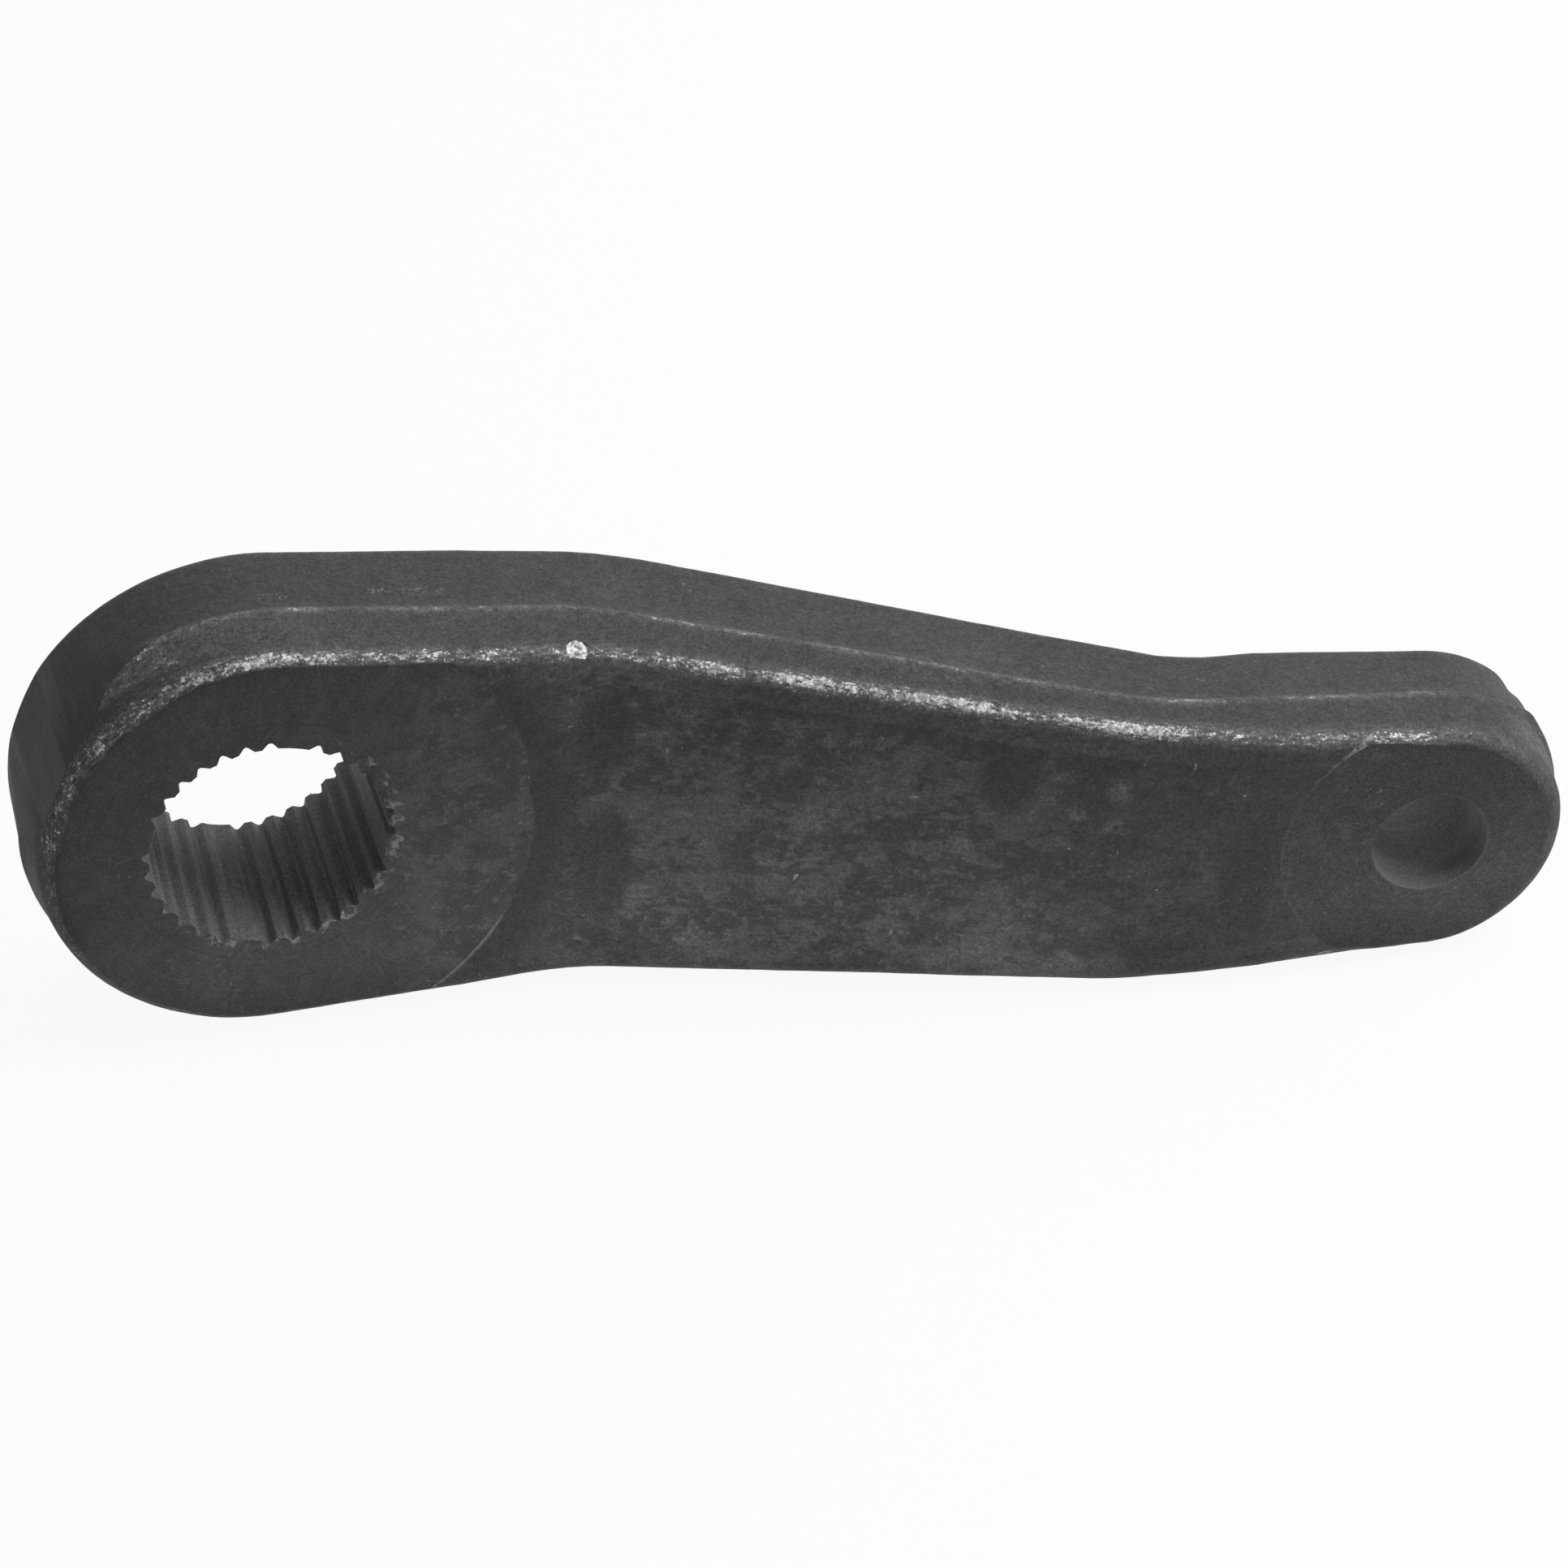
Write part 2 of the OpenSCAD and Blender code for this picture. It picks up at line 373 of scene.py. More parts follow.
def lathe(points, centre, steps):
    """A turned solid from a chain of (radius, height) points that starts and ends on the axis."""
    bm = bmesh.new()
    chain = [bm.verts.new((centre + r, 0, z)) for r, z in points]
    edges = [bm.edges.new(pair) for pair in zip(chain, chain[1:])]
    bmesh.ops.spin(
        bm, geom=chain + edges, cent=(centre, 0, 0), axis=(0, 0, 1), angle=2 * pi, steps=steps, use_merge=True
    )
    bmesh.ops.remove_doubles(bm, verts=bm.verts[:], dist=0.0005)
    bmesh.ops.recalc_face_normals(bm, faces=bm.faces[:])
    return bm


def spot_cutter(centre, radius, height, up, rings, steps):
    """The face cutter: flat below, with a small corner radius that leaves a fillet at the edge of its cut."""
    r, reach = 0.3, 6
    arc = [(radius - r + r * sin(a), r - r * cos(a)) for a in (radians(k * 22.5) for k in range(5))]
    points = [(0, 0)] + [(p, 0) for p in rings] + arc + [(radius, reach), (0, reach)]
    return lathe([(p, height + up * h) for p, h in points], centre, steps)


def stud_reamer():
    """The taper reamer, with the touch of a countersink that breaks the hole's two mouths."""
    top, low = DROP, DROP - SMALL_T
    small = STUD_R - SMALL_T * STUD_TAPER / 2
    c, over = 0.05, 2
    points = [
        (0, low - over), (small + c + over, low - over), (small + c, low), (small, low + c),
        (STUD_R, top - c), (STUD_R + c, top), (STUD_R + c + over, top + over), (0, top + over),
    ]
    return lathe(points, CENTRES, SMALL_TURN)


def broach():
    """The spline broach: a toothed outline drawn through the eye, with a ragged flare at the torn mouths."""
    bm = bmesh.new()
    over, torn_deep = 2.0, 0.16
    pitch = 2 * pi / SPLINES
    mouth = TIP_R * pitch * (1 - TOOTH) / 2
    deep = ROOT_R - TIP_R
    flank = [
        (TIP_R - 0.02, 1.05), (TIP_R + 0.04, 0.97), (TIP_R + 0.3 * deep, 0.76), (TIP_R + 0.6 * deep, 0.52),
        (TIP_R + 0.84 * deep, 0.33), (TIP_R + 0.96 * deep, 0.18), (ROOT_R, 0.0),
    ]
    for k in range(SPLINES):
        mid = pi / 2 + SPLINE_TURN + k * pitch
        if k % (SPLINES // MASTERS) == 0:
            spots = [(TIP_R, mid + pitch * (j / 8 - 0.5)) for j in range(9)]
        else:
            start = [(TIP_R, mid - pitch / 2), (TIP_R, mid - pitch * 0.42)]
            left = [(r, mid - mouth * w / r) for r, w in flank]
            right = [(r, mid + mouth * w / r) for r, w in reversed(flank[:-1])]
            spots = start + left + right + [(TIP_R, mid + pitch * 0.42)]
        for r, a in spots:
            bm.verts.new((r * cos(a), r * sin(a), over))
    bmesh.ops.remove_doubles(bm, verts=bm.verts[:], dist=0.002)
    ring = bm.verts[:]
    plain = [v.co.copy() for v in ring]
    edges = [bm.edges.new(pair) for pair in zip(ring, ring[1:] + ring[:1])]

    def torn(co, z):
        """How far the mouth is torn open here: most on the right and the lower side of the front."""
        n = noise.noise(Vector((co.x * 0.9, co.y * 0.9, z)))
        spread = 0.26 if z > -1 and (co.x > 6 or co.y < -9) else 0.14
        return max(0.05, 0.12 + spread * n)

    def place(verts, height, flare):
        share = min(1.0, max(0.0, 1 + height / BIG_T))
        for v, co in zip(verts, plain):
            grow = 1 + flare(co) / co.xy.length + BORE_TAPER * share
            v.co = (co.x * grow + MOUTH_RIGHT * share, co.y * grow - MOUTH_DOWN * share, height)

    place(ring, over, lambda co: torn(co, 0))
    bmesh.ops.contextual_create(bm, geom=edges)
    order = {v: k for k, v in enumerate(ring)}
    for height, flare in (
        (0.0, lambda co: torn(co, 0)),
        (-torn_deep, lambda co: 0),
        (-BIG_T + torn_deep, lambda co: 0),
        (-BIG_T, lambda co: torn(co, -BIG_T)),
        (-BIG_T - over, lambda co: torn(co, -BIG_T)),
    ):
        edges = pick(bmesh.ops.extrude_edge_only(bm, edges=edges)["geom"], bmesh.types.BMEdge)
        above = {}
        for v in {v for e in edges for v in e.verts}:
            for e in v.link_edges:
                if e.other_vert(v) in order:
                    above[v] = order[e.other_vert(v)]
        order = above
        place(sorted(above, key=above.get), height, flare)
    bmesh.ops.contextual_create(bm, geom=edges)
    bmesh.ops.recalc_face_normals(bm, faces=bm.faces[:])
    return bm


def trim_shear():
    """The trimming die's edge, set a little far in: it shears a wall across the big eye's upper left."""
    above, below, outside, flare = 3, -27, 42, 1.03
    bm = bmesh.new()
    inner = []
    for a in range(SHEAR_BY_ANGLE[0][0], SHEAR_BY_ANGLE[-1][0] + 1):
        r = along(SHEAR_BY_ANGLE, a)
        inner.append(bm.verts.new((r * cos(radians(a)), r * sin(radians(a)), above)))
    edges = [bm.edges.new(pair) for pair in zip(inner, inner[1:])]
    for _ in range(4):
        bmesh.ops.smooth_vert(bm, verts=inner[1:-1], factor=0.5, use_axis_x=True, use_axis_y=True)
    wide = bmesh.ops.extrude_edge_only(bm, edges=edges)["geom"]
    for v in pick(wide, bmesh.types.BMVert):
        v.co.xy = v.co.xy.normalized() * outside
    lower = pick(bmesh.ops.extrude_face_region(bm, geom=bm.faces[:])["geom"], bmesh.types.BMVert)
    for v in lower:
        v.co.z = below
        v.co.xy = v.co.xy * flare
    bmesh.ops.recalc_face_normals(bm, faces=bm.faces[:])
    return bm


def test_spot():
    """The small flat that is ground on the upper front edge for the hardness test."""
    bm = bmesh.new()
    wheel_depth, cut_depth = 2, 0.56
    out = Vector((0.075, 0.87, 0.48)).normalized()
    place = Vector((40.1, 27.1, -1.1)) + out * (wheel_depth / 2 - cut_depth)
    turn = out.to_track_quat("Z", "Y").to_matrix().to_4x4()
    seat = Matrix.Translation(place) @ turn
    bmesh.ops.create_cone(
        bm, cap_ends=True, segments=40, radius1=1.5, radius2=1.54, depth=wheel_depth, matrix=seat
    )
    return bm


def as_object(name, bm, finishes):
    mesh = bpy.data.meshes.new(name)
    bm.to_mesh(mesh)
    bm.free()
    for m in finishes:
        mesh.materials.append(m)
    obj = bpy.data.objects.new(name, mesh)
    bpy.context.scene.collection.objects.link(obj)
    return obj


def machine(arm, cuts):
    """Takes each cutter off the forging in turn. A cut keeps its own finish."""
    tools = []
    for bm, finish in cuts:
        for f in bm.faces:
            f.material_index = finish
        tool = as_object("tool", bm, arm.data.materials)
        cut = arm.modifiers.new("cut", "BOOLEAN")
        cut.operation = "DIFFERENCE"
        cut.solver = "EXACT"
        cut.material_mode = "INDEX"
        cut.object = tool
        tools.append(tool)
    graph = bpy.context.evaluated_depsgraph_get()
    done = bpy.data.meshes.new_from_object(arm.evaluated_get(graph))
    arm.modifiers.clear()
    rough = arm.data
    arm.data = done
    bpy.data.meshes.remove(rough)
    for tool in tools:
        mesh = tool.data
        bpy.data.objects.remove(tool)
        bpy.data.meshes.remove(mesh)


# How far in from the outline the rubbed marks reach
EDGE_REACH, WALL_REACH, RIDGE_REACH = 6, 5, 2.2
# The angle round an edge where it is rubbed most and its painted highlight peaks, and how far that spreads
# from there, in degrees
EDGE_PEAK, FRONT_SPREAD, BACK_SPREAD = 50, 24, 22
BACK_RUBBED = 0.5
RIDGE_SPREAD = 0.6
BURR_H = 0.16


def edge_angle(depth, radius):
    """Angle round a rounded edge, in degrees, at a depth from its face."""
    return degrees(acos(max(-1.0, 1 - depth / radius)))


def rubbed_and_highlit_at(co, foot, normal, inset):
    """How far handling has rubbed the skin, with a painted highlight added on the upper front edge and the
    upper wall's small end: most on the front edge, less on the upper wall and back edge.
    """
    r = edge_r(foot)
    below = max(0.0, front_edge(foot) - co.z)
    above = max(0.0, co.z - back(foot.x))
    if inset < EDGE_REACH and below < r:
        milled = min(abs(co.z), abs(co.z - DROP)) < 0.02
        if milled:
            return 0.0
        peak = EDGE_PEAK - 12 * max(0.0, -normal.x) - 10 * max(0.0, -normal.y)
        return edge_wear_and_highlight(foot) * exp(-(((edge_angle(below, r) - peak) / FRONT_SPREAD) ** 2))
    if inset < WALL_REACH and co.z > parting(foot.x) and foot.y > 0:
        return along(UPPER_WALL_PALE_AND_HIGHLIT, foot.x)
    if inset < WALL_REACH and above < BACK_EDGE_R:
        return BACK_RUBBED * exp(-(((edge_angle(above, BACK_EDGE_R) - EDGE_PEAK) / BACK_SPREAD) ** 2))
    return 0.0


def finish_mesh(arm):
    """Cleans the cut mesh, raises the broach's burr, and notes where edges are rubbed, with the painted
    highlight that rides on that, and where the dies met.
    """
    bm = bmesh.new()
    bm.from_mesh(arm.data)
    bmesh.ops.remove_doubles(bm, verts=bm.verts[:], dist=0.004)
    bmesh.ops.dissolve_degenerate(bm, edges=bm.edges[:], dist=0.002)
    bmesh.ops.triangulate(bm, faces=bm.faces[:])
    rub_and_shine = bm.verts.layers.float.new("rubbed_and_highlit_edge")
    seam = bm.verts.layers.float.new("parting_line")
    flat = bm.verts.layers.float.new("front_face")
    way = bm.verts.layers.float_vector.new("edge_way")
    for v in bm.verts:
        foot, normal = station(v.co)
        inset = (foot - Vector((v.co.x, v.co.y, 0))).dot(normal)
        run = BIG_R * (pi - atan2(abs(foot.y), foot.x)) if foot.x < TANGENT.x else 100 + foot.x
        v[way] = (run, inset + v.co.z - front(foot.x), 0.05 * v.co.y)
        v[rub_and_shine] = rubbed_and_highlit_at(v.co, foot, normal, inset)
        if inset < RIDGE_REACH:
            off = (v.co.z - ridge_line(foot.x)) / RIDGE_SPREAD
            v[seam] = exp(-(off**2)) * along(RIDGE_WORN_AND_HIGHLIT, foot.x)
        v[flat] = min(1.0, max(0.0, (v.normal.z - 0.8) / 0.14))
        at_mouth = TIP_R - 0.1 < v.co.xy.length < ROOT_R + 2.2 and abs(v.co.z) < 0.01
        if at_mouth and any(f.material_index == BROACHED for f in v.link_faces):
            tear = max(0.0, noise.noise(Vector((v.co.x * 0.7, v.co.y * 0.7, 5.5))))
            side = 1.0 if v.co.x > 7 else (0.6 if v.co.y < -8 else 0.15)
            v.co.z += BURR_H * side * tear
            v[rub_and_shine] = min(1.0, 0.25 + side * (0.35 + 0.6 * tear))
    for e in bm.edges:
        faces = e.link_faces
        split = len(faces) == 2 and faces[0].material_index != faces[1].material_index
        e.smooth = len(faces) == 2 and e.calc_face_angle(0) < radians(30 if split else 38)
    for f in bm.faces:
        f.smooth = True
    bmesh.ops.transform(bm, matrix=STAND, verts=bm.verts[:])
    bm.to_mesh(arm.data)
    bm.free()


# Finishes

def span_node(tree, low, high, at_low, at_high, soft=True):
    """A Map Range node that gives at_low at low and at_high at high, by a soft step or a straight line."""
    n = tree.nodes.new("ShaderNodeMapRange")
    n.interpolation_type = "SMOOTHSTEP" if soft else "LINEAR"
    keys = ("From Min", "From Max", "To Min", "To Max")
    for key, value in zip(keys, (low, high, at_low, at_high)):
        n.inputs[key].default_value = value
    return n


class Finish:
    """A material and short names for the nodes that it is wired from."""

    def __init__(self, name):
        self.material = bpy.data.materials.new(name)
        self.material.use_nodes = True
        self.tree = self.material.node_tree
        self.tree.nodes.clear()
        out = self.node("ShaderNodeOutputMaterial")
        self.skin = self.node("ShaderNodeBsdfPrincipled")
        self.tree.links.new(self.skin.outputs["BSDF"], out.inputs["Surface"])
        self.place = (self.node("ShaderNodeTexCoord"), "Object")

    def node(self, kind, **values):
        n = self.tree.nodes.new(kind)
        for key, value in values.items():
            setattr(n, key, value)
        return n

    def put(self, value, socket):
        """Sets a socket to a number or colour, or wires another node's output to it."""
        if isinstance(value, tuple) and isinstance(value[0], bpy.types.Node):
            self.tree.links.new(value[0].outputs[value[1]], socket)
        else:
            socket.default_value = value

    def grain(self, scale, detail=3.0, rough=0.55, twist=0.0, squeeze=None, where=None):
        n = self.node("ShaderNodeTexNoise")
        n.inputs["Scale"].default_value = scale
        n.inputs["Detail"].default_value = detail
        n.inputs["Roughness"].default_value = rough
        n.inputs["Distortion"].default_value = twist
        where = where or self.place
        if squeeze:
            m = self.node("ShaderNodeMapping")
            self.put(where, m.inputs["Vector"])
            m.inputs["Scale"].default_value = squeeze
            where = (m, "Vector")
        self.put(where, n.inputs["Vector"])
        return (n, "Fac")

    def band(self, value, low, high):
        """0 at low and 1 at high, with a soft step between. Low may be the greater of the two."""
        ends = (low, high, 0.0, 1.0) if low < high else (high, low, 1.0, 0.0)
        n = span_node(self.tree, *ends)
        self.put(value, n.inputs["Value"])
        return (n, "Result")

    def between(self, value, start, full, fading, end):
        """0 up to start, 1 from full to fading, and 0 again from end."""
        return self.times(self.band(value, start, full), self.band(value, end, fading))

    def sum(self, how, a, b):
        n = self.node("ShaderNodeMath", operation=how)
        self.put(a, n.inputs[0])
        self.put(b, n.inputs[1])
        return (n, "Value")

    def times(self, a, b):
        return self.sum("MULTIPLY", a, b)

    def blend(self, share, a, b, how="MIX"):
        n = self.node("ShaderNodeMix", data_type="RGBA", blend_type=how)
        self.put(share, n.inputs["Factor"])
        for value, socket in ((a, n.inputs[6]), (b, n.inputs[7])):
            self.put(value if isinstance(value[0], bpy.types.Node) else (*value, 1), socket)
        return (n, 2)

    def mottle(self, colour, height, depth, low=0.3, high=0.7):
        """Darkens a colour by up to depth where a noise is low and lightens it as much where it is high."""
        n = span_node(self.tree, low, high, 1 - depth, 1 + depth, False)
        self.put(height, n.inputs["Value"])
        return self.blend(1.0, colour, (n, "Result"), "MULTIPLY")

    def lumps(self):
        return self.grain(700, 5, 0.66)

    def sand(self):
        return self.grain(1900, 3, 0.7)

    def dust(self):
        return self.grain(4300, 2, 0.6)

    def note(self, name, kind="Fac"):
        return (self.node("ShaderNodeAttribute", attribute_name=name), kind)

    def axis(self, name, of=None):
        n = self.node("ShaderNodeSeparateXYZ")
        self.put(of or self.place, n.inputs["Vector"])
        return (n, name)

    def spot(self, at, half, turn=0.0, soft=0.5):
        """1 inside a small ellipsoid at a place on the forging, in millimetres, and 0 outside."""
        m = self.node("ShaderNodeMapping", vector_type="TEXTURE")
        self.put(self.place, m.inputs["Vector"])
        m.inputs["Location"].default_value = STAND @ Vector(at)
        m.inputs["Rotation"].default_value = (0, LEAN - turn, 0)
        m.inputs["Scale"].default_value = (half[0] / 1000, 0.0015, half[1] / 1000)
        n = self.node("ShaderNodeVectorMath", operation="LENGTH")
        self.put((m, "Vector"), n.inputs[0])
        return self.band((n, "Value"), 1.0, soft)

    def on_web(self, x, y, along_half, across_half, turn, soft=0.5):
        """A spot on the front of the web, turned by so many degrees."""
        return self.spot((x, y, front(x)), (along_half, across_half), radians(turn), soft)

    def bump(self, height, depth, under=None):
        n = self.node("ShaderNodeBump")
        n.inputs["Strength"].default_value = 1.0
        n.inputs["Distance"].default_value = depth
        self.put(height, n.inputs["Height"])
        if under:
            self.put(under, n.inputs["Normal"])
        return (n, "Normal")

    def wear(self, colour, rough, normal, metal=0.0, gloss=0.18):
        self.put(colour, self.skin.inputs["Base Color"])
        self.put(rough, self.skin.inputs["Roughness"])
        self.put(normal, self.skin.inputs["Normal"])
        self.put(metal, self.skin.inputs["Metallic"])
        self.skin.inputs["Specular IOR Level"].default_value = gloss
        return self.material

    def most(self, values):
        """The greatest of several masks."""
        top, *rest = values
        for value in rest:
            top = self.sum("MAXIMUM", top, value)
        return top

    def radius(self, eye):
        """Distance from an eye's axis, in millimetres."""
        m = self.node("ShaderNodeMapping", vector_type="TEXTURE")
        self.put(self.place, m.inputs["Vector"])
        m.inputs["Location"].default_value = STAND @ Vector(eye)
        m.inputs["Scale"].default_value = (0.001, 1000, 0.001)
        n = self.node("ShaderNodeVectorMath", operation="LENGTH")
        self.put((m, "Vector"), n.inputs[0])
        return (n, "Value")

    def ring(self, radius, at, half):
        """1 on a thin ring at this radius and 0 away from it."""
        off = self.sum("ABSOLUTE", self.sum("SUBTRACT", radius, at), 0.0)
        return self.band(off, half, half * 0.4)

    def rubbed(self, height, amount, low=0.72, high=0.80, reach=0.26):
        """Bare high spots of the skin, more of them and nearer together where it is rubbed more."""
        return self.band(self.sum("ADD", height, self.times(amount, reach)), low, high)


# Shades of the skin and the steel, as linear colours
DARK_SCALE, PALE_SCALE = (0.064, 0.064, 0.0645), (0.140, 0.140, 0.137)
SMEARED_SCALE = (0.175, 0.175, 0.171)
# Cleaner scale, also used as painted shade in the joggle's bends
CLEAN_SCALE_AND_BEND_SHADE = (0.052, 0.052, 0.0535)
# Painted shade: below the upper edge, and at the joggle's bends and on the left of the walls
PAINTED_SHADE_UNDER_EDGE = (0.044, 0.044, 0.045)
PAINTED_SHADE_SCALE = (0.045, 0.045, 0.046)
SCUFFED_SCALE = (0.20, 0.199, 0.188)
HANDLED_AND_HIGHLIT_SCALE = (0.27, 0.27, 0.266)
RIDGE_WORN_AND_HIGHLIT_SCALE = (0.24, 0.24, 0.236)
DULL_STEEL, BRIGHT_STEEL = (0.36, 0.36, 0.355), (0.95, 0.95, 0.94)
MILLED_DARK, MILLED_PAINTED_LIGHT = (0.060, 0.060, 0.060), (0.110, 0.110, 0.108)
CUT_STEEL = (0.48, 0.48, 0.47)
BROACHED_STEEL, BROWN_FILM = (0.165, 0.165, 0.164), (0.205, 0.194, 0.179)
REAMED_MOUTH_SHADE, REAMED_DEEP_LIT = (0.135, 0.135, 0.133), (0.30, 0.30, 0.296)
SHEARED_DARK, SHEARED_PALE = (0.058, 0.058, 0.0585), (0.085, 0.085, 0.084)
TEST_PITS, TEST_FLAT = (0.14, 0.14, 0.138), (0.78, 0.78, 0.77)

# Nicks on the web: place along and across the arm, half sizes, turn, strength
NICKS = (
    (69.7, -7.5, 0.7, 0.25, 62, 0.6), (119.2, 15.6, 0.7, 0.14, 92, 0.6), (83.8, 7.5, 0.85, 0.28, 14, 0.18),
    (39.5, 15.1, 0.5, 0.16, 5, 0.35), (79.1, 16.8, 0.5, 0.12, -50, 0.4), (82.4, -15.6, 0.75, 0.2, 85, 0.2),
    (83.0, -12.2, 0.6, 0.25, 80, 0.15), (55.5, -13.0, 1.1, 0.25, -12, 0.12), (115.8, -5.2, 0.35, 0.2, 0, 0.4),
    (126.1, 10.6, 0.28, 0.24, 0, 0.5), (124.9, -7.4, 1.1, 0.16, 20, 0.15), (96.0, -4.0, 2.6, 0.07, 24, 0.15),
    (61.0, 9.5, 3.2, 0.07, -18, 0.1), (107.0, -12.0, 2.2, 0.07, 40, 0.12), (139.5, -17.6, 2.0, 0.5, 12, 0.45),
)
# Paler scuffed patches, and darker ones on the web: cleaner scale in the middle, painted shade at the
# joggle's two bends: place, half sizes, turn
SCUFFS = (
    (109.6, 11.2, 3.0, 2.6, 30), (104.7, 6.8, 2.2, 1.7, 10), (109.3, 5.1, 2.9, 1.8, 40), (57, -19, 4, 2, 10),
)
CLEAN_PATCHES_AND_BEND_SHADE = (
    (95.2, 11.5, 9.0, 7.0, 10), (44.0, 14.0, 6.0, 9.0, 0), (45.5, -8.0, 5.5, 12.0, 0),
    (127.5, -4.0, 5.0, 12.0, 0),
)
# Scrapes on the upper wall behind the parting line: place and half sizes
SCRAPES = (
    ((1.0, 31.7, -11.4), (4.5, 1.5)), ((20.0, 30.3, -12.5), (12.0, 1.5)), ((121.0, 21.0, 8.5), (2.5, 1.5)),
)
# Where the edge of a milled face is rubbed and carries a painted highlight: place, half sizes, turn, softness
SMALL_EDGE_RUBBED_AND_LIT = ((141.5, 18.0, DROP), (11, 7), radians(45), 0.1)
BIG_EDGE_RUBBED_AND_LIT = ((26.0, -25.0, 0), (14, 6), radians(50), 0.6)


def scaled_skin():
    """The as-forged skin: dark scale, paler cloudy patches, bright flecks where the edges are rubbed, painted
    highlights on the upper edge and the flash ridge, and painted shade at the joggle's bends, below the upper
    edge and on the left.
    """
    f = Finish("scaled_forging_skin")
    face = f.note("front_face")
    rub_and_shine = f.note("rubbed_and_highlit_edge")
    seam = f.note("parting_line")
    way = f.note("edge_way", "Vector")
    lumps, sand, dust = f.lumps(), f.sand(), f.dust()
    smear = f.grain(1.0, 5, 0.62, 0.0, (0.7, 1.5, 1.0), way)
    along_arm, up = f.axis("X"), f.axis("Z")
    to_big, to_small = f.radius((0, 0, 0)), f.radius((CENTRES, 0, 0))

    # Paler patches, most of them on the middle of the web, and the marks that have a place of their own
    clouds = f.band(f.grain(42, 4, 0.55), 0.36, 0.66)
    blots = f.band(f.grain(150, 7, 0.7, 0.0, (0.75, 1, 1.15)), 0.47, 0.57)
    specks = f.band(f.grain(480, 6, 0.7), 0.52, 0.64)
    middle_web = f.between(along_arm, 0.030, 0.046, 0.085, 0.125)
    calm_and_bend_shade = f.most(f.on_web(*mark) for mark in CLEAN_PATCHES_AND_BEND_SHADE)
    scuff = f.most(f.on_web(*mark, 0.1) for mark in SCUFFS)
    nick = f.most(f.times(f.on_web(*mark), strength) for *mark, strength in NICKS)
    patches = f.most((f.times(blots, 0.62), f.times(specks, 0.9)))
    patches = f.times(patches, f.sum("ADD", 0.2, f.times(f.most((f.times(clouds, 0.6), middle_web)), 0.8)))
    patches = f.times(patches, f.sum("ADD", 0.22, f.times(face, 0.78)))
    patches = f.times(patches, f.sum("SUBTRACT", 1.0, f.times(calm_and_bend_shade, 0.85)))
    shade = f.blend(patches, DARK_SCALE, PALE_SCALE)
    smears = f.band(f.grain(330, 5, 0.6, 0.6, (0.55, 1, 1.3)), 0.56, 0.61)
    smears = f.times(f.times(smears, face), f.sum("SUBTRACT", middle_web, calm_and_bend_shade))
    shade = f.blend(f.times(smears, 0.45), shade, SMEARED_SCALE)
    # Darker where the scale is cleaner, and painted shade at the joggle's bends.
    shade = f.blend(f.times(calm_and_bend_shade, 0.6), shade, CLEAN_SCALE_AND_BEND_SHADE)

    # Painted shade: darker below the upper edge, round the two eyes where the joggle bends, and on the left
    # of the walls
    across = f.axis("Y", way)
    under = f.times(f.between(across, 2.6, 3.8, 5.0, 10.0), f.band(up, -0.004, 0.004))
    under = f.times(under, f.between(along_arm, 0.045, 0.062, 0.130, 0.142))
    shade = f.blend(f.times(under, 0.5), shade, PAINTED_SHADE_UNDER_EDGE)
    small_eye_shade = f.times(f.band(to_small, 33, 21), f.times(f.band(up, -0.018, -0.002), 0.7))
    eye_shade = f.most((f.band(to_big, 44, 37.5), small_eye_shade))
    shade = f.blend(f.times(f.times(eye_shade, face), 0.9), shade, PAINTED_SHADE_SCALE)
    left_wall_shade = f.times(f.band(along_arm, 0.060, 0.0), f.sum("SUBTRACT", 1.0, face))
    shade = f.blend(f.times(left_wall_shade, 0.2), shade, PAINTED_SHADE_SCALE)
    shade = f.mottle(shade, f.grain(90, 6, 0.7), 0.14)

    # Scuffs, handled edges and the ridge, partly painted highlight on both, under the grain of the scale
    scuff = f.times(scuff, f.times(f.band(f.grain(600, 6, 0.7), 0.38, 0.58), 0.85))
    shade = f.blend(scuff, shade, SCUFFED_SCALE)
    # The handled edge band is partly rubbed steel and partly a painted highlight where the light catches the
    # upper front edge.
    handled_and_highlit = f.times(rub_and_shine, f.sum("ADD", 0.68, f.times(f.band(f.grain(120, 5, 0.62), 0.36, 0.62), 0.4)))
    # The pale line on the flash ridge is partly rubbed flash and partly a painted highlight along its crest,
    # strongest on the nose at the small end.
    ridge = f.times(seam, f.sum("ADD", 0.5, f.times(f.band(f.grain(110, 4, 0.6), 0.38, 0.64), 0.5)))
    shade = f.blend(f.times(handled_and_highlit, f.band(smear, 0.22, 0.62)), shade, HANDLED_AND_HIGHLIT_SCALE)
    shade = f.blend(f.times(ridge, f.times(f.band(smear, 0.2, 0.6), 0.7)), shade, RIDGE_WORN_AND_HIGHLIT_SCALE)
    shade = f.mottle(shade, lumps, 0.2)
    shade = f.mottle(shade, sand, 0.34)
    shade = f.mottle(shade, dust, 0.38)

    # Bare steel in flecks
    fleck = f.sum("ADD", f.times(smear, 0.5), f.times(f.grain(2600, 3, 0.65), 0.5))
    worn = f.rubbed(fleck, handled_and_highlit, 0.67, 0.77)
    line = f.rubbed(fleck, ridge, 0.72, 0.84)
    stray = f.rubbed(f.grain(1500, 2, 0.5), f.band(f.grain(60, 3, 0.5), 0.5, 0.75), 0.76, 0.84, 0.1)
    rear = f.most(f.spot(at, half, 0, 0.1) for at, half in SCRAPES)
    scrape = f.times(rear, f.band(fleck, 0.54, 0.62))
    broken = f.times(f.band(sand, 0.3, 0.5), f.band(f.grain(260, 4, 0.6), 0.36, 0.54))
